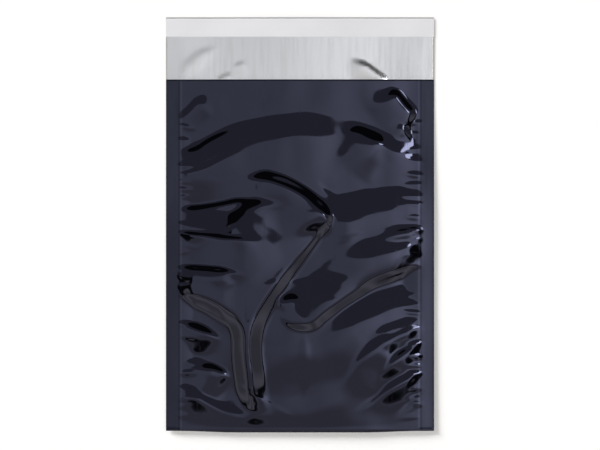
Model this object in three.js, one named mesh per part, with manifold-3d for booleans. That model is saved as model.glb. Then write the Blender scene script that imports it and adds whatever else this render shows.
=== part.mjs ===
// Glossy mailing bag, empty and unsealed, lying on its back.
// One web of metallised film is folded across at the bottom and welded down both sides. The back
// panel runs on past the mouth as the closing flap, which carries a strip of adhesive under a
// peel-off liner. The welds draw the film in, so the loose front panel stands off the back in a
// low crown and gathers in creases that start at the welds.
// Millimetres. The bag lies on z = 0 with its fold towards -Y and its flap towards +Y, and the
// origin is under the middle of its outline.

import * as THREE from "three";
import { mergeVertices } from "three/addons/utils/BufferGeometryUtils.js";
import Module from "manifold-3d";

// The web of film.
const bagWidth = 250;
const bodyLength = 329;
const flapLength = 58;
const filmThickness = 0.07;
const weldWidth = 13;

// How the front panel stands off the back panel.
const crownHeight = 9;
const crownFullness = 2.5;
const foldRise = 35;
const mouthDrop = 0.15;
const mouthDropLength = 100;
const weldRise = 14;

// The closing strip, set in from the flap's free edge.
const linerWidth = 17;
const linerThickness = 0.08;
const linerInset = 0.8;
const adhesiveWidth = 11;
const adhesiveThickness = 0.05;
const adhesiveEndInset = 2;

// The faceting of the panels.
const columnStep = 7;
const rowStep = 6;
const creaseSamples = 30;

const halfBag = bagWidth / 2;
const halfPocket = halfBag - weldWidth;
const bagLength = bodyLength + flapLength;

// Shares of a crease's length: it has come up by the first, and from the second it dies out.
const creaseRise = 0.2;
const creaseFade = 0.6;

// Creases of the front panel. A line runs from where the crease starts, mostly at a weld, to
// where it dies out, in points of [across, up] that are shares of the pocket: from -1 at the left
// weld to 1 at the right one, and from 0 at the fold to 1 at the mouth.
const creases = [
  // The arch below the mouth, and the upper corners.
  { height: 1.8, spread: 15, line: [[-1, 0.73], [-0.54, 0.8], [0, 0.84], [0.4, 0.83]] },
  { height: 1.4, spread: 12, line: [[1, 0.75], [0.71, 0.79], [0.36, 0.85]] },
  { height: 0.8, spread: 9, line: [[-1, 0.88], [-0.9, 0.91], [-0.79, 0.955]] },
  { height: 1.1, spread: 9, line: [[1, 0.88], [0.87, 0.91], [0.73, 0.975]] },
  // The crescent in the middle, and the two edges of the fork below it.
  { height: 1.6, spread: 11, line: [[-0.38, 0.72], [0, 0.68], [0.2, 0.62], [0.19, 0.54]] },
  { height: 1.8, spread: 11, line: [[0.16, 0.65], [-0.2, 0.47], [-0.41, 0.32], [-0.44, 0.24], [-0.36, 0.08]] },
  { height: 1.5, spread: 10, line: [[-1, 0.41], [-0.63, 0.35], [-0.47, 0.27], [-0.45, 0.18]] },
  // The left gathers.
  { height: 2, spread: 14, line: [[-1, 0.55], [-0.71, 0.54], [-0.25, 0.54], [-0.09, 0.56]] },
  { height: 1.1, spread: 10, line: [[-1, 0.43], [-0.76, 0.42], [-0.52, 0.42]] },
  { height: 1.1, spread: 9, line: [[-1, 0.3], [-0.82, 0.28], [-0.62, 0.26]] },
  { height: 1.1, spread: 10, line: [[-1, 0.18], [-0.79, 0.17], [-0.57, 0.14]] },
  { height: 1, spread: 9, line: [[-1, 0.12], [-0.67, 0.06], [-0.21, 0.06]] },
  // The right gathers.
  { height: 1.3, spread: 12, line: [[1, 0.62], [0.71, 0.62], [0.38, 0.58]] },
  { height: 1.1, spread: 11, line: [[1, 0.52], [0.54, 0.48], [0.27, 0.48]] },
  { height: 1.8, spread: 12, line: [[-0.23, 0.34], [0, 0.3], [0.3, 0.37], [0.64, 0.44], [1, 0.48]] },
  { height: 1.4, spread: 12, line: [[1, 0.36], [0.54, 0.3], [0.05, 0.26]] },
  { height: 1.1, spread: 9, line: [[1, 0.24], [0.79, 0.2], [0.5, 0.14]] },
  { height: 1.1, spread: 9, line: [[1, 0.16], [0.77, 0.11], [0.43, 0.05]] },
];

const wasm = await Module();
wasm.setup();

// Evenly spaced values from one end to the other, no further apart than the step.
function stations(from, to, step) {
  const count = Math.ceil((to - from) / step);
  return Array.from({ length: count + 1 }, (_, i) => from + ((to - from) * i) / count);
}

const smoothstep = THREE.MathUtils.smoothstep;

for (const crease of creases) {
  const points = crease.line.map(([x, up]) => new THREE.Vector3(x * halfPocket, up * bodyLength, 0));
  crease.path = new THREE.CatmullRomCurve3(points).getPoints(creaseSamples);
}

// Height that one crease adds at a point: a soft ridge along its line that fades to its ends.
function creaseHeight(crease, x, up) {
  let nearest = Infinity;
  let share = 0;
  crease.path.forEach((point, i) => {
    const distance = Math.hypot(point.x - x, point.y - up);
    if (distance < nearest) {
      nearest = distance;
      share = i / creaseSamples;
    }
  });
  const along = smoothstep(share, -creaseRise, creaseRise) * (1 - smoothstep(share, creaseFade, 1));
  return crease.height * along * Math.exp(-((nearest / crease.spread) ** 2));
}

// Clear height inside the pouch, from the back panel's inside to the front panel's inside.
function pouchGap(x, up) {
  const across = Math.abs(x) / halfPocket;
  if (across >= 1 || up <= filmThickness) return 0;
  const crown =
    crownHeight *
    (1 - across ** crownFullness) *
    (1 - Math.exp(-up / foldRise)) *
    (1 - mouthDrop * smoothstep(up, bodyLength - mouthDropLength, bodyLength));
  const loose = Math.min(1, (halfPocket - Math.abs(x)) / weldRise) * Math.min(1, up / weldRise);
  const gathered = creases.reduce((sum, crease) => sum + creaseHeight(crease, x, up), 0);
  return crown + loose * gathered;
}

// Closed solid between a floor and a roof over a grid. A row holds its distance up from the fold
// and its floor and roof heights as functions of x. Two rows at one place make an upright step,
// and where floor and roof meet, the solid closes to an edge.
function slab(columns, rows) {
  const position = [];
  for (const side of ["floor", "roof"]) {
    for (const row of rows) {
      for (const x of columns) position.push(x, row.up - bagLength / 2, row[side](x));
    }
  }
  const wide = columns.length;
  const layer = wide * rows.length;
  const index = [];
  const quad = (a, b, c, d) => index.push(a, b, c, a, c, d);
  for (let r = 0; r + 1 < rows.length; r++) {
    for (let c = 0; c + 1 < wide; c++) {
      const corner = r * wide + c;
      quad(corner, corner + wide, corner + wide + 1, corner + 1);
      quad(layer + corner, layer + corner + 1, layer + corner + wide + 1, layer + corner + wide);
    }
  }
  const wall = (a, b) => quad(a, b, layer + b, layer + a);
  for (let c = 0; c + 1 < wide; c++) {
    wall(c, c + 1);
    wall(layer - wide + c + 1, layer - wide + c);
  }
  for (let r = 0; r + 1 < rows.length; r++) {
    wall((r + 1) * wide, r * wide);
    wall((r + 1) * wide - 1, (r + 2) * wide - 1);
  }
  const geometry = new THREE.BufferGeometry();
  geometry.setAttribute("position", new THREE.Float32BufferAttribute(position, 3));
  geometry.setIndex(index);
  return geometry;
}

// A geometry as a manifold-3d solid, without the faces that collapse where its points meet.
function solidOf(geometry) {
  const merged = mergeVertices(geometry);
  const corners = [];
  for (let i = 0; i < merged.index.count; i += 3) {
    const [a, b, c] = [0, 1, 2].map((k) => merged.index.getX(i + k));
    if (a !== b && b !== c && c !== a) corners.push(a, b, c);
  }
  const vertProperties = merged.getAttribute("position").array;
  const triVerts = new Uint32Array(corners);
  return new wasm.Manifold(new wasm.Mesh({ numProp: 3, vertProperties, triVerts }));
}

function geometryOf(solid) {
  const mesh = solid.getMesh();
  const geometry = new THREE.BufferGeometry();
  geometry.setAttribute("position", new THREE.BufferAttribute(mesh.vertProperties, 3));
  geometry.setIndex(new THREE.BufferAttribute(mesh.triVerts, 1));
  return geometry;
}

// The film: the outside of the pouch with its flap, less the pocket between the two panels.
function bagFilm() {
  const pocketColumns = stations(-halfPocket, halfPocket, columnStep);
  const pocketRows = stations(filmThickness, bodyLength, rowStep);
  const table = () => 0;
  const oneFilm = () => filmThickness;

  const outside = slab(
    [-halfBag, ...pocketColumns, halfBag],
    [
      ...[0, ...pocketRows].map((up) => ({
        up,
        floor: table,
        roof: (x) => 2 * filmThickness + pouchGap(x, up),
      })),
      { up: bodyLength, floor: table, roof: oneFilm },
      { up: bagLength, floor: table, roof: oneFilm },
    ],
  );
  const pocketRoof = (up) => (x) => filmThickness + pouchGap(x, up);
  const pocket = slab(pocketColumns, [
    ...pocketRows.map((up) => ({ up, floor: oneFilm, roof: pocketRoof(up) })),
    { up: bodyLength + rowStep, floor: oneFilm, roof: pocketRoof(bodyLength) },
  ]);
  return geometryOf(solidOf(outside).subtract(solidOf(pocket)).asOriginal().simplify());
}

// A flat strip that lies across the flap.
function strip(width, length, thickness) {
  return new THREE.BoxGeometry(length, width, thickness);
}

const outsideFinish = new THREE.MeshStandardMaterial({
  name: "midnight film",
  color: 0x16171f,
  roughness: 0.12,
  metalness: 0.9,
});
const adhesiveFinish = new THREE.MeshStandardMaterial({
  name: "adhesive",
  color: 0xd9d4bd,
  roughness: 0.35,
  metalness: 0,
});
const linerFinish = new THREE.MeshStandardMaterial({
  name: "liner",
  color: 0xdcdde1,
  roughness: 0.45,
  metalness: 0,
});

const film = new THREE.Mesh(bagFilm(), outsideFinish);
film.name = "bag_film";

const stripCentre = bagLength / 2 - linerInset - linerWidth / 2;

const adhesive = new THREE.Mesh(
  strip(adhesiveWidth, bagWidth - 2 * adhesiveEndInset, adhesiveThickness),
  adhesiveFinish,
);
adhesive.name = "adhesive_strip";
adhesive.position.set(0, stripCentre, filmThickness + adhesiveThickness / 2);

const liner = new THREE.Mesh(strip(linerWidth, bagWidth, linerThickness), linerFinish);
liner.name = "release_liner";
liner.position.set(0, stripCentre, filmThickness + adhesiveThickness + linerThickness / 2);

const bag = new THREE.Group();
bag.add(film, adhesive, liner);

export default bag;
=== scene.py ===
import math

import bpy
import numpy as np
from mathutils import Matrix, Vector


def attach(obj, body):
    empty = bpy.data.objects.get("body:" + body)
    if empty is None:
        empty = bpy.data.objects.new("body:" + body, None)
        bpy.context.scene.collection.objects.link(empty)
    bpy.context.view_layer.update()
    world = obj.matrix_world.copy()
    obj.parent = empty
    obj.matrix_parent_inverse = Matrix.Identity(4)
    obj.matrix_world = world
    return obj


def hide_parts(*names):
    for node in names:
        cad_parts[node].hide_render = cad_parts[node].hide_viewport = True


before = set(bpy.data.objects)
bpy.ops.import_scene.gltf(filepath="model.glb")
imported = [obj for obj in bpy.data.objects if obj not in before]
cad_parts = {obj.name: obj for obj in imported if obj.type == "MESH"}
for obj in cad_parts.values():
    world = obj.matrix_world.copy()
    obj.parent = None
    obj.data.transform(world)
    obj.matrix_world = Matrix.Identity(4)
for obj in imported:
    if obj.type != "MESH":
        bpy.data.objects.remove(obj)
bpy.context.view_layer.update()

# View from straight above, on a long lens.
# The bag lies flat and its whole outline fills the height of the frame.
FRAME_WIDTH = 0.5599
CAMERA_HEIGHT = 5.0
SENSOR_WIDTH = 36.0
VIEW_LIMIT = 50.0

lens = bpy.data.cameras.new("camera")
lens.sensor_width = SENSOR_WIDTH
lens.lens = SENSOR_WIDTH * CAMERA_HEIGHT / FRAME_WIDTH
lens.clip_end = VIEW_LIMIT
camera = bpy.data.objects.new("camera", lens)
camera.location = (0.0, 0.0, CAMERA_HEIGHT)
bpy.context.collection.objects.link(camera)
bpy.context.scene.camera = camera
bpy.context.scene.view_settings.view_transform = "Standard"

# Surroundings that the film mirrors: a panel of light overhead, brighter to the right and with a
# dimmer, warmer hem along its near edge, a dim ceiling beyond it, black felt, a warm curtain, more
# felt with a second ceiling, a narrow lamp and a dim room. The camera itself sees white.
PANEL_LEVEL = 0.76
PANEL_GROWTH = 2.6
PANEL_GROWTH_FROM = -0.05
PANEL_FALLOFF = 0.9
PANEL_TINT = (1.0, 1.01, 1.04)
HEM_LEVEL = 0.46
HEM_TINT = (1.0, 0.97, 0.94)
CEILING_LEVEL = 0.27
CEILING_TINT = (1.0, 1.0, 1.04)
FELT_LEVEL = 0.03
CURTAIN_LEVEL = 0.74
CURTAIN_TINT = (1.0, 0.93, 0.82)
CURTAIN_FOLDS = 0.30
CURTAIN_FOLDS_ACROSS = 21.0
CURTAIN_FOLDS_ALONG = 13.0
LAMP_LEVEL = 9.0
ROOM_LEVEL = 0.48
PLAIN_TINT = (1.0, 1.0, 1.0)
WHITE = (1.0, 1.0, 1.0, 1.0)

# Areas of the sky's flat plan, as left, right, low, high and softness. All are tangents of the
# angle from straight up, and the plan ends just above the horizon.
LOWEST_HEIGHT = 0.02
OUTER_FELT = (-1.5, 1.5, -1.3, 1.4, 0.1)
FAR_CEILING = (-1.0, 1.0, 0.68, 1.05, 0.03)
CURTAIN = (-1.15, 1.15, -0.85, 0.30, 0.03)
INNER_FELT = (-0.50, 0.42, -0.28, 0.68, 0.015)
NEAR_CEILING = (-0.60, 0.60, 0.06, 0.31, 0.012)
PANEL = (-0.40, 0.33, -0.22, 0.07, 0.008)
PANEL_HEM = (-0.40, 0.33, -0.22, -0.09, 0.04)
LAMP = (0.28, 0.36, 0.08, 0.16, 0.008)


def feed(tree, socket, value):
    """Gives a socket a plain value, or links another socket to it."""
    if isinstance(value, bpy.types.NodeSocket):
        tree.links.new(value, socket)
    else:
        socket.default_value = value


def maths(tree, operation, *values):
    """A maths node, with numbers or sockets as its inputs."""
    node = tree.nodes.new("ShaderNodeMath")
    node.operation = operation
    for socket, value in zip(node.inputs, values):
        feed(tree, socket, value)
    return node.outputs[0]


def mapped(tree, value, interpolation="LINEAR", **ends):
    """Carries a value from one span to another, whose ends are numbers or sockets."""
    node = tree.nodes.new("ShaderNodeMapRange")
    node.interpolation_type = interpolation
    feed(tree, node.inputs["Value"], value)
    for name, end in ends.items():
        feed(tree, node.inputs[name.replace("_", " ").title()], end)
    return node.outputs["Result"]


def scaled(tree, colour, level):
    """A colour made lighter or darker by a level."""
    node = tree.nodes.new("ShaderNodeVectorMath")
    node.operation = "SCALE"
    feed(tree, node.inputs[0], colour)
    feed(tree, node.inputs["Scale"], level)
    return node.outputs[0]


def mixed(tree, kind, share, first, second):
    """Passes from a first colour or vector to a second one."""
    node = tree.nodes.new("ShaderNodeMix")
    node.data_type = kind
    feed(tree, node.inputs["Factor"], share)
    feed(tree, node.inputs["A"], first)
    feed(tree, node.inputs["B"], second)
    return next(o for o in node.outputs if o.enabled)


world = bpy.data.worlds.new("studio")
bpy.context.scene.world = world
world.use_nodes = True
sky = world.node_tree
sky.nodes.clear()
direction = sky.nodes.new("ShaderNodeTexCoord")
split = sky.nodes.new("ShaderNodeSeparateXYZ")
feed(sky, split.inputs[0], direction.outputs["Generated"])
sky_height = maths(sky, "MAXIMUM", split.outputs["Z"], LOWEST_HEIGHT)
plan_x = maths(sky, "DIVIDE", split.outputs["X"], sky_height)
plan_y = maths(sky, "DIVIDE", split.outputs["Y"], sky_height)


def sky_step(value, edge, soft):
    """0 below the edge and 1 above it, over a soft stretch."""
    return mapped(sky, value, "SMOOTHSTEP", from_min=edge - soft, from_max=edge + soft)


def sky_window(left, right, low, high, soft):
    """1 inside a rectangle of the sky's plan, and 0 outside."""
    inside = sky_step(plan_x, left, soft)
    for side in (
        maths(sky, "SUBTRACT", 1.0, sky_step(plan_x, right, soft)),
        sky_step(plan_y, low, soft),
        maths(sky, "SUBTRACT", 1.0, sky_step(plan_y, high, soft)),
    ):
        inside = maths(sky, "MULTIPLY", inside, side)
    return inside


def sky_layer(below, area, level, tint=PLAIN_TINT):
    """Lays one area of light, at a level that may vary over it, over what is there already."""
    return mixed(sky, "VECTOR", sky_window(*area), below, scaled(sky, tint, level))


# The curtain's slanting folds, as a ripple in its level.
curtain_across = maths(sky, "MULTIPLY", plan_x, CURTAIN_FOLDS_ACROSS)
curtain_along = maths(sky, "MULTIPLY", plan_y, CURTAIN_FOLDS_ALONG)
curtain_folds = maths(sky, "SINE", maths(sky, "ADD", curtain_across, curtain_along))
curtain_folds = maths(sky, "MULTIPLY_ADD", curtain_folds, CURTAIN_FOLDS, 1.0)
curtain_level = maths(sky, "MULTIPLY", curtain_folds, CURTAIN_LEVEL)

# The panel's level, which grows to the right from a little left of the middle, and falls off
# towards the panel's near edge.
panel_x = maths(sky, "MAXIMUM", plan_x, PANEL_GROWTH_FROM)
growth = maths(sky, "EXPONENT", maths(sky, "MULTIPLY", panel_x, PANEL_GROWTH))
falloff = maths(sky, "MULTIPLY_ADD", maths(sky, "MINIMUM", plan_y, 0.0), PANEL_FALLOFF, 1.0)
panel_level = maths(sky, "MULTIPLY", maths(sky, "MULTIPLY", growth, falloff), PANEL_LEVEL)

# The room, and the areas of light and dark over it, each laid over those before it.
light = scaled(sky, PLAIN_TINT, ROOM_LEVEL)
light = sky_layer(light, OUTER_FELT, FELT_LEVEL)
light = sky_layer(light, FAR_CEILING, CEILING_LEVEL, CEILING_TINT)
light = sky_layer(light, CURTAIN, curtain_level, CURTAIN_TINT)
light = sky_layer(light, INNER_FELT, FELT_LEVEL)
light = sky_layer(light, NEAR_CEILING, CEILING_LEVEL, CEILING_TINT)
light = sky_layer(light, PANEL, panel_level, PANEL_TINT)
light = sky_layer(light, PANEL_HEM, HEM_LEVEL, HEM_TINT)
light = sky_layer(light, LAMP, LAMP_LEVEL)

mirrored = sky.nodes.new("ShaderNodeBackground")
feed(sky, mirrored.inputs["Color"], light)
seen = sky.nodes.new("ShaderNodeBackground")
seen.inputs["Color"].default_value = WHITE
ray = sky.nodes.new("ShaderNodeLightPath")
choice = sky.nodes.new("ShaderNodeMixShader")
feed(sky, choice.inputs["Fac"], ray.outputs["Is Camera Ray"])
feed(sky, choice.inputs[1], mirrored.outputs[0])
feed(sky, choice.inputs[2], seen.outputs[0])
sky_output = sky.nodes.new("ShaderNodeOutputWorld")
feed(sky, sky_output.inputs["Surface"], choice.outputs[0])

# Key light: a broad sun, low from the upper left, that the film doesn't mirror.
# It gives the soft shadow along the bag's right and lower edges.
KEY_STRENGTH = 5.4
KEY_SOFTNESS = math.radians(24)
KEY_FROM = (-0.74, 0.55, 0.32)

key_light = bpy.data.lights.new("key", "SUN")
key_light.energy = KEY_STRENGTH
key_light.angle = KEY_SOFTNESS
key = bpy.data.objects.new("key", key_light)
key.location = KEY_FROM
key.rotation_euler = (-Vector(KEY_FROM)).to_track_quat("-Z", "Y").to_euler()
key.visible_glossy = False
bpy.context.collection.objects.link(key)

# White table that the bag lies on.
# Part of its white is its own glow to the camera, so that it stays white and still takes a shadow.
TABLE_HALF = 6.0
TABLE_COLOUR = (0.80, 0.80, 0.80, 1.0)
TABLE_GLOW = 0.25

table_mesh = bpy.data.meshes.new("table")
table_corners = [(TABLE_HALF * a, TABLE_HALF * b, 0) for a, b in ((-1, -1), (1, -1), (1, 1), (-1, 1))]
table_mesh.from_pydata(table_corners, [], [(0, 1, 2, 3)])
table = bpy.data.objects.new("table", table_mesh)
bpy.context.collection.objects.link(table)
table_finish = bpy.data.materials.new("white table")
table_finish.use_nodes = True
table_tree = table_finish.node_tree
table_tree.nodes.clear()
table_matt = table_tree.nodes.new("ShaderNodeBsdfDiffuse")
table_matt.inputs["Color"].default_value = TABLE_COLOUR
table_glow = table_tree.nodes.new("ShaderNodeEmission")
table_ray = table_tree.nodes.new("ShaderNodeLightPath")
table_level = maths(table_tree, "MULTIPLY", table_ray.outputs["Is Camera Ray"], TABLE_GLOW)
feed(table_tree, table_glow.inputs["Strength"], table_level)
table_sum = table_tree.nodes.new("ShaderNodeAddShader")
feed(table_tree, table_sum.inputs[0], table_matt.outputs[0])
feed(table_tree, table_sum.inputs[1], table_glow.outputs[0])
table_output = table_tree.nodes.new("ShaderNodeOutputMaterial")
feed(table_tree, table_output.inputs["Surface"], table_sum.outputs[0])
table_mesh.materials.append(table_finish)

# Film: one web of metallised laminate, folded across at the bottom and heat-sealed down both
# sides, with the back running on past the mouth as the flap. Near black outside, silver inside.
# Lengths here are millimetres: x across from the centre line, up from the fold.
MM = 0.001
BAG_WIDTH = 250.0
BODY_LENGTH = 329.0
FLAP_LENGTH = 58.0
WELD_WIDTH = 13.0
FILM_THICKNESS = 0.07
DARK_EDGE_WIDTH = 0.6
BAG_LENGTH = BODY_LENGTH + FLAP_LENGTH
HALF_BAG = BAG_WIDTH / 2
HALF_POCKET = HALF_BAG - WELD_WIDTH

# The film's mesh: its columns, and its rows down the front, round the turn at the fold, up the
# back and up the flap, whose last row is a narrow strip along the free edge that takes the dark
# outside finish on its inner face too.
COLUMNS = 160
FRONT_ROWS = 228
TURN_ROWS = 6
BACK_ROWS = 50
FLAP_ROWS = 27

columns = np.linspace(-HALF_BAG, HALF_BAG, COLUMNS)
front_ups = np.linspace(BODY_LENGTH, 0.0, FRONT_ROWS)
back_ups = np.linspace(0.0, BODY_LENGTH, BACK_ROWS)[1:]
flap_ups = np.append(np.linspace(BODY_LENGTH, BAG_LENGTH - DARK_EDGE_WIDTH, FLAP_ROWS)[1:], BAG_LENGTH)

# Beside a bend, a place takes its distance from all the stretches of a crease's line that are
# nearly as close as the nearest: within this many mm, and this share of its distance, of it.
BLEND_REACH = 0.8
BLEND_SHARE = 0.12

# Where a crease comes and goes, sides up to the first of these widths taper in full, and those
# beyond the second not at all.
TAPERED_WIDTHS = (12.0, 40.0)


def smooth(value, low, high):
    """0 at low and 1 at high, with level ends."""
    share = np.clip((value - low) / (high - low), 0.0, 1.0)
    return share * share * (3.0 - 2.0 * share)


def bank(share, crest=0.35, foot=0.15):
    """1 at share 0 and 0 at share 1: an even slope between a rounded crest and a sharper foot."""
    share = np.clip(share, 0.0, 1.0)
    slope = 1.0 / (1.0 - crest / 2 - foot / 2)
    upper = 1.0 - slope * share**2 / (2 * crest)
    middle = 1.0 - slope * (share - crest / 2)
    lower = slope * (1.0 - share) ** 2 / (2 * foot)
    return np.where(share < crest, upper, np.where(share > 1.0 - foot, lower, middle))


def curve_through(points, steps=10):
    """A smooth line through given points."""
    p = np.array([points[0], *points, points[-1]], float)
    t = np.linspace(0.0, 1.0, steps, endpoint=False)[:, None]
    stretches = [
        0.5 * (2 * b + (c - a) * t + (2 * a - 5 * b + 4 * c - d) * t**2 + (3 * b - a - 3 * c + d) * t**3)
        for a, b, c, d in zip(p, p[1:], p[2:], p[3:])
    ]
    return np.vstack([*stretches, p[-1:]])


def crease(x, up, points, rise, left, right, grow, die, taper=0.35):
    """Height of one crease. It stands rise mm along its line and banks down over left mm on one
    hand and right mm on the other, as seen walking along it; two numbers for a hand are its widths
    at the start and at the end. Grow and die are the shares of its length over which it comes and
    goes, and taper is the share of a narrow side's width that is left where it ends."""
    line = curve_through(points)
    left, right = np.broadcast_to(left, 2), np.broadcast_to(right, 2)
    reach = max(*left, *right)
    low, high = line.min(0) - reach, line.max(0) + reach
    near = (x >= low[0]) & (x <= high[0]) & (up >= low[1]) & (up <= high[1])
    place = np.stack([x[near], up[near]], 1)
    first, run = line[:-1], np.diff(line, axis=0)
    length = np.hypot(run[:, 0], run[:, 1])
    before = np.concatenate([[0.0], np.cumsum(length)[:-1]])
    to = place[:, None] - first[None]
    along = np.clip((to * run).sum(2) / length**2, 0.0, 1.0)
    off = to - along[..., None] * run
    away = np.sqrt((off**2).sum(2))
    pick = away.argmin(1)
    row = np.arange(len(place))
    hand = run[pick, 0] * to[row, pick, 1] - run[pick, 1] * to[row, pick, 0]
    nearest = away[row, pick][:, None]
    weight = np.exp((nearest - away) / (BLEND_REACH + BLEND_SHARE * nearest))
    weight /= weight.sum(1, keepdims=True)
    distance = (weight * away).sum(1)
    share = (weight * (before + along * length)).sum(1) / length.sum()
    grown = smooth(share, 0.0, grow) * smooth(1.0 - share, 0.0, die)
    start, end = np.where(hand > 0, left[:, None], right[:, None])
    width = start + (end - start) * share
    kept = taper + (1.0 - taper) * smooth(width, *TAPERED_WIDTHS)
    height = np.zeros(x.shape)
    height[near] = rise * grown * bank(distance / (width * (kept + (1.0 - kept) * grown)))
    return height


# Creases of the front panel by region, as (line, rise, left, right, grow, die), and with taper
# where it isn't the usual one.
FRONT_CREASES = [
    # Arch below the mouth: left arm and its dark rims, then right arm and its dark core.
    ([(-145, 222), (-110, 241), (-85, 250), (-60, 262), (-35, 269), (0, 273), (44, 272)],
     1.9, 27, 70, 0.05, 0.24, 0.9),
    ([(-120, 255), (-98, 262), (-83, 272), (-58, 286)], 0.6, 3.5, 70, 0.2, 0.5),
    ([(-120, 238), (-92, 245), (-75, 253), (-52, 266)], 0.6, 3.5, 70, 0.2, 0.5),
    ([(145, 236), (110, 250), (80, 261), (62, 269), (48, 276), (32, 277)],
     1.4, (70, 26), 19, 0.05, 0.32, 0.7),
    ([(82, 265), (66, 273), (54, 278), (40, 279)], 0.9, 80, 9, 0.3, 0.3),
    # Upper corners, and the streak below the right one.
    ([(-118, 286), (-102, 299), (-88, 315)], 0.8, 6, 20, 0.2, 0.3),
    ([(110, 292), (98, 302), (83, 321)], 1.5, 34, 8, 0.2, 0.25),
    ([(90, 290), (97, 280), (104, 268), (109, 258)], 0.8, 7, 30, 0.35, 0.35),
    # Crescent in the middle, and its steeper core.
    ([(-52, 235), (-36, 234), (-18, 229), (0, 220), (13, 210), (22, 201), (26, 190), (24, 176)],
     2.4, (13, 9), (60, 50), 0.2, 0.3),
    ([(-40, 238), (-18, 233), (2, 225), (17, 214), (27, 203), (31, 190)], 0.4, 6, 50, 0.3, 0.3),
    # Left valley, its two rims and its swirl.
    ([(-150, 182), (-110, 181), (-80, 178), (-50, 176), (-28, 178), (-8, 180)], 3.3, 34, 130, 0.05, 0.5),
    ([(-130, 203), (-80, 209), (-54, 214), (-36, 212)], 1.4, 5, 120, 0.15, 0.3),
    ([(-130, 184), (-90, 182), (-62, 179), (-36, 179)], 0.9, 4, 120, 0.3, 0.3),
    ([(-76, 183), (-62, 190), (-52, 200), (-38, 208), (-12, 211)], 2.3, 14, 60, 0.3, 0.55),
    # Pucker below the valley, and its rim.
    ([(-150, 141), (-110, 140), (-85, 137), (-56, 138)], 2.2, 17, 120, 0.05, 0.22),
    ([(-124, 153), (-80, 150), (-50, 146)], 1.1, 4, 14, 0.15, 0.35),
    # Right fork, from its foot in the hollow beside the forked ridge to the right weld.
    ([(-24, 114), (-9, 102), (8, 102), (20, 111), (34, 121), (52, 133), (72, 145), (110, 157), (150, 166)],
     2.3, (32, 60), (12, 10), 0.25, 0.05),
    ([(-24, 114), (-16, 118), (-8, 121), (4, 122)], 1.4, 10, 40, 0.4, 0.4),
    # Right gathers above the fork.
    ([(150, 203), (110, 202), (80, 200), (60, 197), (42, 193), (20, 192)], 2.4, 50, 33, 0.05, 0.2),
    ([(150, 178), (110, 171), (85, 164), (60, 159), (30, 157)], 1.5, 30, 24, 0.05, 0.3),
    ([(124, 187), (92, 184), (72, 178)], 0.8, 8, 9, 0.2, 0.4),
    # Right gathers below the fork.
    ([(150, 124), (110, 115), (84, 109), (60, 99), (36, 86), (10, 82)], 1.9, 90, 28, 0.05, 0.3),
    ([(124, 106), (88, 94), (62, 86)], 0.8, 20, 9, 0.2, 0.3),
    ([(150, 100), (110, 92), (80, 80), (62, 67), (48, 51), (34, 34)], 0.9, 50, 9, 0.05, 0.3),
    ([(88, 92), (72, 83), (58, 70), (46, 54)], 0.9, 60, 6, 0.4, 0.6),
    ([(150, 92), (112, 79), (102, 74), (88, 63), (72, 48)], 1.6, 40, 8, 0.05, 0.35),
    ([(150, 62), (112, 51), (102, 47), (86, 38), (70, 26), (48, 15)], 2.0, 40, 10, 0.05, 0.5),
    ([(150, 40), (112, 27), (101, 19), (88, 11)], 1.2, 20, 7, 0.05, 0.4),
    # Faint stripe up the lower middle.
    ([(4, 94), (5, 60), (3, 26)], 0.4, 7, 7, 0.3, 0.5),
    # Left gathers below the fork.
    ([(-124, 104), (-92, 92), (-70, 84)], 1.7, 8, 24, 0.15, 0.4),
    ([(-150, 54), (-110, 55), (-88, 53), (-64, 43)], 1.9, 18, 90, 0.05, 0.5),
    ([(-96, 60), (-80, 57), (-64, 48)], 1.2, 6, 90, 0.4, 0.3),
    ([(-150, 54), (-110, 35), (-95, 27), (-75, 17), (-55, 10), (-38, 10), (-24, 18)],
     1.6, 11, 60, 0.05, 0.2),
]

# Fork: two terraces, whose edges run in from the left weld and down from the crescent and meet in
# one ridge. The film follows the lower of the two.
FORK = [
    ([(-150, 147), (-92, 129), (-70, 118), (-55, 107), (-48, 90), (-46, 60), (-36, -6)],
     4.2, 170, (17, 21), 0.05, 0.24),
    ([(26, 226), (-3, 184), (-23, 156), (-42, 126), (-53, 104), (-57, 80), (-54, 50), (-40, -6)],
     5.6, (23, 28), 170, 0.08, 0.26),
]

# Short gathers along both welds, where the seal has drawn the film in. Each starts in the weld and
# runs in over the pocket, and they leave the fold and the mouth free.
GATHERS_FROM = 14.0
GATHERS_TO = BODY_LENGTH - 40
GATHER_SPACING = (7.0, 15.0)
GATHER_START = HALF_POCKET + 5
GATHER_REACH = (12.0, 26.0)
GATHER_BEND = (-5.0, 5.0)
GATHER_RISE = (0.15, 0.5)
GATHER_BANK = 3.5
GATHER_GROW = 0.3
GATHER_DIE = 0.6
GATHER_SEED = 11

gather_draw = np.random.default_rng(GATHER_SEED)
gathers = []
for side in (-1, 1):
    up = GATHERS_FROM
    while up < GATHERS_TO:
        reach = gather_draw.uniform(*GATHER_REACH)
        bend = gather_draw.uniform(*GATHER_BEND)
        rise = gather_draw.uniform(*GATHER_RISE)
        gather_line = [(side * GATHER_START, up), (side * (HALF_POCKET - reach), up + bend)]
        gathers.append((gather_line, rise, GATHER_BANK, GATHER_BANK, GATHER_GROW, GATHER_DIE))
        up += gather_draw.uniform(*GATHER_SPACING)

# Faint waves that run through the whole panel. The spans are for a wave's length, heading and
# phase, in that order.
WAVE_HEIGHT = 0.035
WAVE_COUNT = 14
WAVE_SPANS = ((24.0, 60.0), (0.0, math.tau), (0.0, math.tau))
WAVE_SEED = 5

wave_draw = np.random.default_rng(WAVE_SEED)
waves = [[wave_draw.uniform(*span) for span in WAVE_SPANS] for _ in range(WAVE_COUNT)]

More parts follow.
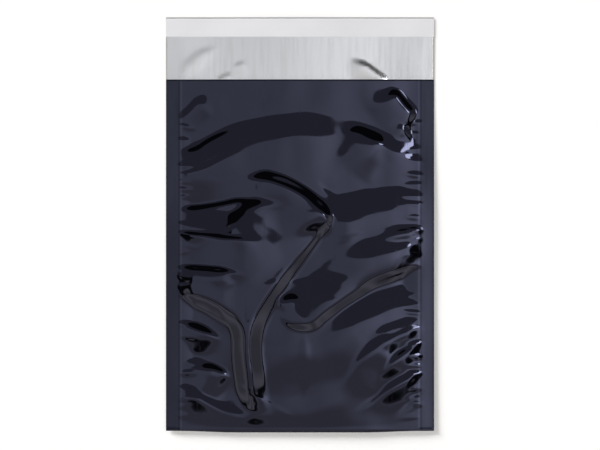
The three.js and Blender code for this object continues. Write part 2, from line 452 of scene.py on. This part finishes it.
# How the back panel lies: on the table along its middle, with its sides and the fold standing off
# it and the outer edges of its welds drooping again. The sides settle towards the mouth.
BACK_CLEARANCE = 0.06
BELLY_HALF = 60.0
SIDE_LIFT = 3.1
SIDE_SWAY = 0.10
SIDE_SWAY_PHASE = 0.8
SWAY_RUN = 31.0
WELD_DROOP = 1.1
WELD_DROOP_SPAN = (HALF_POCKET - 2, HALF_POCKET + 15)
FOLD_LIFT = 1.2
FOLD_SWAY = 0.2
FOLD_RUN = 45.0
END_LIFT = 0.5
END_SPAN = (BODY_LENGTH - 40, BAG_LENGTH)
SETTLED_SHARE = 0.75
SETTLED_SPAN = (150.0, 345.0)


def settled(up):
    """How much of their full lift the bag's sides have: less towards the mouth and the flap."""
    return 1.0 - SETTLED_SHARE * smooth(up, *SETTLED_SPAN)


def back_height(x, up):
    """The back panel bellies down on the table, so its welded edges and the fold stand off it."""
    side = SIDE_LIFT * smooth(np.abs(x), BELLY_HALF, HALF_POCKET)
    side -= WELD_DROOP * smooth(np.abs(x), *WELD_DROOP_SPAN)
    sway = 1.0 + SIDE_SWAY * np.sin(up / SWAY_RUN + np.sign(x) * SIDE_SWAY_PHASE)
    fold = FOLD_LIFT * (1.0 - smooth(up, 0.0, FOLD_RUN)) * (1.0 + FOLD_SWAY * np.sin(x / SWAY_RUN))
    end = END_LIFT * smooth(up, *END_SPAN)
    return BACK_CLEARANCE + np.sqrt((side * sway * settled(up)) ** 2 + fold**2 + end**2)


# How the front panel stands over the back: it puffs up just inside the welds and the fold and
# climbs to a low crown along its middle, which is a little lower towards the mouth.
PUFF = 0.5
PUFF_SIDE_RUN = 9.0
PUFF_FOLD_RUN = 8.0
CROWN_RISE = 4.2
CROWN_RUN = 84.0
CROWN_HALF = 10.0
CROWN_FOOT = 0.05
CROWN_FALL = 0.3
CROWN_FALL_FROM = 120.0
FOLD_SIDE_RUN = 30.0
LEAST_GAP = 0.1
TURN_GAP = 0.4
TURN_GAP_RUN = 3.0

# The creases are laid over that without their own broad run, of which some is left near the fold.
# The welds and the fold hold the film down, so near them the creases are short and low, and end.
BLUR_REACH = 2.5
PANEL_RUN = 60.0
PANEL_RUN_SPAN = (-40.0, 50.0)
HELD_REACH = 80.0
HELD_BROAD = HELD_REACH / 2
HELD_FINE = HELD_REACH / 6
HELD_RISE = 0.9
HELD_BY_FOLD = 1.5
CREASE_SIDE_SPAN = (-6.0, 14.0)
CREASE_FOLD_RUN = 34.0
GATHER_SIDE_SPAN = (-10.0, 4.0)


def blurred(heights, spread):
    """The broad run of the front panel's heights, without what is finer than the spread in mm."""
    for axis, grid in ((0, front_ups), (1, columns)):
        step = abs(grid[1] - grid[0])
        half = int(BLUR_REACH * spread / step)
        weight = np.exp(-((np.arange(-half, half + 1) * step / spread) ** 2) / 2)
        padding = [(half, half) if a == axis else (0, 0) for a in (0, 1)]
        padded = np.pad(heights, padding, mode="reflect")
        heights = np.apply_along_axis(np.convolve, axis, padded, weight / weight.sum(), "valid")
    return heights


def pouch_gap(x, up):
    """Clear height between the panels: next to nothing in the welds, and a low pillow between."""
    inward = HALF_POCKET - np.abs(x)
    pillow = PUFF * (1 - np.exp(-np.clip(inward, 0.0, None) / PUFF_SIDE_RUN))
    pillow *= 1 - np.exp(-up / PUFF_FOLD_RUN)
    crown = 1.0 - smooth(np.abs(x), CROWN_HALF, HALF_POCKET)
    crown *= bank(1.0 - up / CROWN_RUN, foot=CROWN_FOOT)
    pillow += CROWN_RISE * crown * (1.0 - CROWN_FALL * smooth(up, CROWN_FALL_FROM, BODY_LENGTH))
    pillow += SIDE_LIFT * settled(up) * (1.0 - smooth(np.abs(x), BELLY_HALF, HALF_POCKET))
    pillow += FOLD_LIFT * smooth(up, 0.0, FOLD_RUN) * smooth(inward, 0.0, FOLD_SIDE_RUN)
    height = pillow * (inward > 0)
    folds = np.minimum(*[crease(x, up, *one) for one in FORK])
    folds += sum(crease(x, up, *one) for one in FRONT_CREASES)
    folds -= blurred(folds, PANEL_RUN) * smooth(up, *PANEL_RUN_SPAN)
    held = 1.0 - smooth(np.minimum(inward, HELD_BY_FOLD * up), 0.0, HELD_REACH)
    short = folds - blurred(folds, HELD_BROAD)
    swell = blurred(short, HELD_FINE)
    short += HELD_RISE * np.tanh(swell / HELD_RISE) - swell
    folds += held * (short - folds)
    loose = smooth(inward, *CREASE_SIDE_SPAN) * smooth(up, 0.0, CREASE_FOLD_RUN)
    height += loose * folds
    height += smooth(inward, *GATHER_SIDE_SPAN) * sum(crease(x, up, *one) for one in gathers)
    for wave_length, heading, phase in waves:
        way = x * math.cos(heading) + up * math.sin(heading)
        height += loose * WAVE_HEIGHT * np.sin(way * math.tau / wave_length + phase)
    return np.maximum(LEAST_GAP + TURN_GAP * np.exp(-up / TURN_GAP_RUN) + height, LEAST_GAP)


# Creases of the flap: a dark crescent at its right, thin strokes at its left. The flap also bows
# up along its middle, from well inside the mouth on.
FLAP_CREASES = [
    ([(46, 348), (60, 342), (72, 334), (84, 324)], 1.0, 4.5, 22, 0.35, 0.2),
    ([(-50, 346), (-64, 339)], 0.22, 14, 3, 0.4, 0.4),
    ([(-62, 336), (-80, 326)], 0.3, 14, 3, 0.4, 0.3),
    ([(-112, 330), (-98, 346), (-74, 361)], 0.22, 9, 12, 0.3, 0.4),
]
FLAP_CREASE_SPAN = (-12.0, 2.0)
FLAP_BOW = 1.8
FLAP_BOW_SPAN = (-170.0, 20.0)


def flap_height(x, up):
    """Height of the bow and of the flap's creases over the plain back panel."""
    past = up - BODY_LENGTH
    middle = np.cos(np.clip(x / HALF_POCKET, -1.0, 1.0) * math.pi / 2) ** 2
    bow = FLAP_BOW * smooth(past, *FLAP_BOW_SPAN) * middle
    return bow + smooth(past, *FLAP_CREASE_SPAN) * sum(crease(x, up, *one) for one in FLAP_CREASES)


def rounded(heights):
    """Takes the sharpness off every fold, as the film's own stiffness does."""
    wide = np.pad(heights, 1, mode="edge")
    wide = (wide[:-2] + 2 * wide[1:-1] + wide[2:]) / 4
    return (wide[:, :-2] + 2 * wide[:, 1:-1] + wide[:, 2:]) / 4


across, ups = np.meshgrid(columns, front_ups)
front = np.stack([across, ups, back_height(across, ups) + rounded(pouch_gap(across, ups))], 2)
across, ups = np.meshgrid(columns, np.concatenate([back_ups, flap_ups]))
back = np.stack([across, ups, back_height(across, ups) + flap_height(across, ups)], 2)
turn_top = front[-1, :, 2]
turn_low = back_height(columns, np.zeros(len(columns)))
turn_radius = (turn_top - turn_low) / 2
turn_middle = (turn_top + turn_low) / 2
turn = np.stack(
    [
        np.stack([columns, -turn_radius * math.sin(a), turn_middle + turn_radius * math.cos(a)], 1)
        for a in np.linspace(0.0, math.pi, TURN_ROWS)[1:]
    ]
)

# The turn stands out past the fold, so the web is drawn in by that much over its whole length.
web = np.concatenate([front, turn, back])
web_length = BAG_LENGTH + turn_radius.max()
web[..., 1] = (web[..., 1] + turn_radius.max()) * (BAG_LENGTH / web_length) - BAG_LENGTH / 2


def quads(a, b, c, d):
    """Four-cornered faces, from four grids of corner numbers."""
    return np.stack([a.ravel(), b.ravel(), c.ravel(), d.ravel()], 1)


def closed_sheet(name, over, under):
    """A thin closed piece: two skins, as grids of points in mm, joined round their edge."""
    count = over[..., 0].size
    number = np.arange(count).reshape(over.shape[:2])
    outside = quads(number[:-1, :-1], number[1:, :-1], number[1:, 1:], number[:-1, 1:])
    inside = outside[:, ::-1] + count
    rims = [number[:, 0][::-1], number[:, -1], number[0], number[-1][::-1]]
    edges = [quads(rim[:-1], rim[1:], rim[1:] + count, rim[:-1] + count) for rim in rims]
    corners = np.concatenate([over.reshape(-1, 3), under.reshape(-1, 3)]) * MM
    mesh = bpy.data.meshes.new(name)
    mesh.from_pydata(corners.tolist(), [], np.concatenate([outside, inside, *edges]).tolist())
    mesh.update()
    piece = bpy.data.objects.new(name, mesh)
    bpy.context.collection.objects.link(piece)
    return piece


# Skins on both faces of the web, half a film's thickness off it. They are shaded smooth, and all
# of the inner one is silver but the narrow strip along the flap's free edge, which is dark.
facing = np.cross(np.gradient(web, axis=0), np.gradient(web, axis=1))
facing /= np.linalg.norm(facing, axis=2, keepdims=True)
half_film = facing * FILM_THICKNESS / 2
film = closed_sheet("bag_film_skin", web + half_film, web - half_film)
edge_faces = web.shape[1] - 1
skin_faces = (web.shape[0] - 1) * edge_faces
film_faces = np.arange(len(film.data.polygons))
silver_faces = (film_faces >= skin_faces) & (film_faces < 2 * skin_faces - edge_faces)
film.data.polygons.foreach_set("use_smooth", film_faces < 2 * skin_faces)
film.data.polygons.foreach_set("material_index", silver_faces.astype(int))
film.data.update()

# Marks of handling, and how finely each breaks up. A scuff begins where its noise passes
# SCUFF_FIRST less the share of scuffs, and is full at SCUFF_FULL.
MOTTLE_DETAIL = 3.0
SCUFF_DETAIL = 4.0
SCUFF_FIRST = 0.8
SCUFF_FULL = 0.85
UNEVEN_SCALE = 45.0
UNEVEN_DETAIL = 1.0


def noise(tree, place, scale, detail):
    """Cloudy noise over a sheet, with about as many clouds to a metre as its scale says."""
    node = tree.nodes.new("ShaderNodeTexNoise")
    feed(tree, node.inputs["Vector"], place)
    feed(tree, node.inputs["Scale"], scale)
    feed(tree, node.inputs["Detail"], detail)
    return node.outputs["Fac"]


def sheet_marks():
    """What handling leaves on a thin sheet, as masks: a soft mottle, fine scuffs that run along
    the sheet, and the slight unevenness of its surface."""
    group = bpy.data.node_groups.new("sheet marks", "ShaderNodeTree")
    for name in ("Mottle Scale", "Scuff Scale", "Scuff Stretch", "Scuff Share"):
        group.interface.new_socket(name, in_out="INPUT", socket_type="NodeSocketFloat")
    for name in ("Mottle", "Scuffs", "Unevenness"):
        group.interface.new_socket(name, in_out="OUTPUT", socket_type="NodeSocketFloat")
    values = group.nodes.new("NodeGroupInput").outputs
    results = group.nodes.new("NodeGroupOutput").inputs
    place = group.nodes.new("ShaderNodeTexCoord").outputs["Object"]
    feed(group, results["Mottle"], noise(group, place, values["Mottle Scale"], MOTTLE_DETAIL))

    shape = group.nodes.new("ShaderNodeCombineXYZ")
    for axis, size in zip("XYZ", (1.0, values["Scuff Stretch"], 1.0)):
        feed(group, shape.inputs[axis], size)
    stretched = group.nodes.new("ShaderNodeVectorMath")
    stretched.operation = "MULTIPLY"
    feed(group, stretched.inputs[0], place)
    feed(group, stretched.inputs[1], shape.outputs[0])
    scuffs = noise(group, stretched.outputs[0], values["Scuff Scale"], SCUFF_DETAIL)
    least = maths(group, "SUBTRACT", SCUFF_FIRST, values["Scuff Share"])
    feed(group, results["Scuffs"], mapped(group, scuffs, from_min=least, from_max=SCUFF_FULL))
    feed(group, results["Unevenness"], noise(group, place, UNEVEN_SCALE, UNEVEN_DETAIL))
    return group


handling = sheet_marks()


def sheet_finish(name, colours, roughness, marks, bump_mm, metallic=0.0):
    """A sheet's finish: two shades that mottle into each other, roughness that the scuffs raise,
    and a bump of the given height."""
    finish = bpy.data.materials.new(name)
    finish.use_nodes = True
    tree = finish.node_tree
    shader = tree.nodes["Principled BSDF"]
    shader.inputs["Metallic"].default_value = metallic
    wear = tree.nodes.new("ShaderNodeGroup")
    wear.node_tree = handling
    for mark, value in marks.items():
        wear.inputs[mark].default_value = value
    shades = [(*colour, 1.0) for colour in colours]
    feed(tree, shader.inputs["Base Color"], mixed(tree, "RGBA", wear.outputs["Mottle"], *shades))
    gloss = mapped(tree, wear.outputs["Scuffs"], to_min=roughness[0], to_max=roughness[1])
    feed(tree, shader.inputs["Roughness"], gloss)
    bump = tree.nodes.new("ShaderNodeBump")
    bump.inputs["Strength"].default_value = 1.0
    bump.inputs["Distance"].default_value = bump_mm * MM
    feed(tree, bump.inputs["Height"], wear.outputs["Unevenness"])
    feed(tree, shader.inputs["Normal"], bump.outputs["Normal"])
    return finish


midnight = sheet_finish(
    "midnight metallised film",
    colours=[(0.042, 0.045, 0.069), (0.050, 0.052, 0.078)],
    roughness=(0.035, 0.14),
    marks={"Mottle Scale": 14.0, "Scuff Scale": 260.0, "Scuff Stretch": 0.12, "Scuff Share": 0.28},
    bump_mm=0.02,
    metallic=1.0,
)

# The welds matt and cloud the film. At their inner edge the tones also paint light and shade
# that stand for a pressed line: a painted highlight, and just outside it a painted dark line.
# The tones are given by distance from the centre line.
WELD_TONES_AND_SHINE = [
    (0.0, 1.0),
    (HALF_POCKET - 2.4, 1.0),
    # Painted highlight along the weld's inner edge.
    (HALF_POCKET - 1.2, 1.45),
    (HALF_POCKET, 1.0),
    # Painted shade: a dark line just outside the highlight.
    (HALF_POCKET + 0.8, 0.55),
    (HALF_POCKET + 2.0, 0.92),
    (HALF_BAG, 0.88),
]
TONE_AND_SHINE_LIMIT = 2.0
WELD_EDGE = 3.0
WELD_MATT = 0.05
WELD_CLOUDS = (0.78, 1.04)
CLOUD_SPAN = (0.38, 0.58)
CLOUD_SCALE = 7.0
CLOUD_DETAIL = 2.0

film_tree = midnight.node_tree
film_shader = film_tree.nodes["Principled BSDF"]
film_colour = film_shader.inputs["Base Color"].links[0].from_socket
film_gloss = film_shader.inputs["Roughness"].links[0].from_socket
spot = film_tree.nodes.new("ShaderNodeTexCoord").outputs["Object"]
spot_split = film_tree.nodes.new("ShaderNodeSeparateXYZ")
feed(film_tree, spot_split.inputs[0], spot)
off_centre = maths(film_tree, "ABSOLUTE", spot_split.outputs["X"])
weld_tone_and_shine_curve = film_tree.nodes.new("ShaderNodeFloatCurve")
weld_tone_and_shine_curve.mapping.clip_max_y = TONE_AND_SHINE_LIMIT
tone_and_shine_line = weld_tone_and_shine_curve.mapping.curves[0]
tone_and_shine_line.points[0].location = (0.0, WELD_TONES_AND_SHINE[0][1])
tone_and_shine_line.points[1].location = (1.0, WELD_TONES_AND_SHINE[-1][1])
for away, tone in WELD_TONES_AND_SHINE[1:-1]:
    tone_and_shine_line.points.new(away / HALF_BAG, tone)
for point in tone_and_shine_line.points:
    point.handle_type = "VECTOR"
weld_tone_and_shine_curve.mapping.update()
feed(film_tree, weld_tone_and_shine_curve.inputs["Value"], mapped(film_tree, off_centre, from_max=HALF_BAG * MM))
in_weld = mapped(
    film_tree, off_centre, from_min=HALF_POCKET * MM, from_max=(HALF_POCKET + WELD_EDGE) * MM
)
cloud_tone = mapped(
    film_tree,
    noise(film_tree, spot, CLOUD_SCALE, CLOUD_DETAIL),
    from_min=CLOUD_SPAN[0],
    from_max=CLOUD_SPAN[1],
    to_min=WELD_CLOUDS[0] - 1.0,
    to_max=WELD_CLOUDS[1] - 1.0,
)
weld_tone = maths(film_tree, "MULTIPLY_ADD", cloud_tone, in_weld, 1.0)
# The base colour is scaled by the weld tones, which carry the painted highlight and the painted dark line.
film_tone_and_shine = maths(film_tree, "MULTIPLY", weld_tone, weld_tone_and_shine_curve.outputs[0])
feed(film_tree, film_shader.inputs["Base Color"], scaled(film_tree, film_colour, film_tone_and_shine))
matt = maths(film_tree, "MULTIPLY_ADD", in_weld, WELD_MATT, film_gloss)
feed(film_tree, film_shader.inputs["Roughness"], matt)
film.data.materials.append(midnight)

silver = sheet_finish(
    "silver film inside",
    colours=[(0.90, 0.905, 0.92), (0.95, 0.955, 0.965)],
    roughness=(0.19, 0.28),
    marks={"Mottle Scale": 18.0, "Scuff Scale": 300.0, "Scuff Stretch": 0.08, "Scuff Share": 0.35},
    bump_mm=0.02,
    metallic=1.0,
)
film.data.materials.append(silver)

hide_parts("bag_film")
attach(film, "root")

# Adhesive: a tacky strip laid along the flap, just inside its free edge.
# The liner over it hides it until the bag is closed.
LINER_WIDTH = 17.0
LINER_INSET = 0.8
ADHESIVE_WIDTH = 11.0
ADHESIVE_THICKNESS = 0.05
ADHESIVE_END_INSET = 2.0
ADHESIVE_LIFT = 0.02
STRIP_COLUMNS = 126
STRIP_ROWS = 9
strip_middle = BAG_LENGTH - LINER_INSET - LINER_WIDTH / 2


def flap_strip(name, half_length, width, lift, thickness):
    """A thin closed strip that follows the flap, a little above it."""
    strip_columns = np.linspace(-half_length, half_length, STRIP_COLUMNS)
    strip_ups = np.linspace(strip_middle - width / 2, strip_middle + width / 2, STRIP_ROWS)
    across, ups = np.meshgrid(strip_columns, strip_ups, indexing="ij")
    base = back_height(across, ups) + flap_height(across, ups) + FILM_THICKNESS / 2 + lift
    under = np.stack([across, ups - BAG_LENGTH / 2, base], 2)
    return closed_sheet(name, under + (0, 0, thickness), under)


adhesive = flap_strip(
    "adhesive_layer", HALF_BAG - ADHESIVE_END_INSET, ADHESIVE_WIDTH, ADHESIVE_LIFT, ADHESIVE_THICKNESS
)
glue = sheet_finish(
    "tacky adhesive",
    colours=[(0.76, 0.74, 0.64), (0.84, 0.82, 0.72)],
    roughness=(0.22, 0.42),
    marks={"Mottle Scale": 60.0, "Scuff Scale": 200.0, "Scuff Stretch": 0.6, "Scuff Share": 0.4},
    bump_mm=0.03,
)
adhesive.data.materials.append(glue)
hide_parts("adhesive_strip")
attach(adhesive, "root")

# Release liner: a white siliconised strip on the adhesive along the flap's free edge.
# It is cut with the bag, so it runs its whole width.
LINER_THICKNESS = 0.08
LINER_CLEARANCE = 0.02

liner_lift = ADHESIVE_LIFT + ADHESIVE_THICKNESS + LINER_CLEARANCE
liner = flap_strip("liner_strip", HALF_BAG, LINER_WIDTH, liner_lift, LINER_THICKNESS)
paper = sheet_finish(
    "white liner",
    colours=[(0.75, 0.757, 0.795), (0.81, 0.817, 0.85)],
    roughness=(0.34, 0.5),
    marks={"Mottle Scale": 40.0, "Scuff Scale": 400.0, "Scuff Stretch": 0.5, "Scuff Share": 0.4},
    bump_mm=0.02,
)
liner.data.materials.append(paper)
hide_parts("release_liner")
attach(liner, "root")
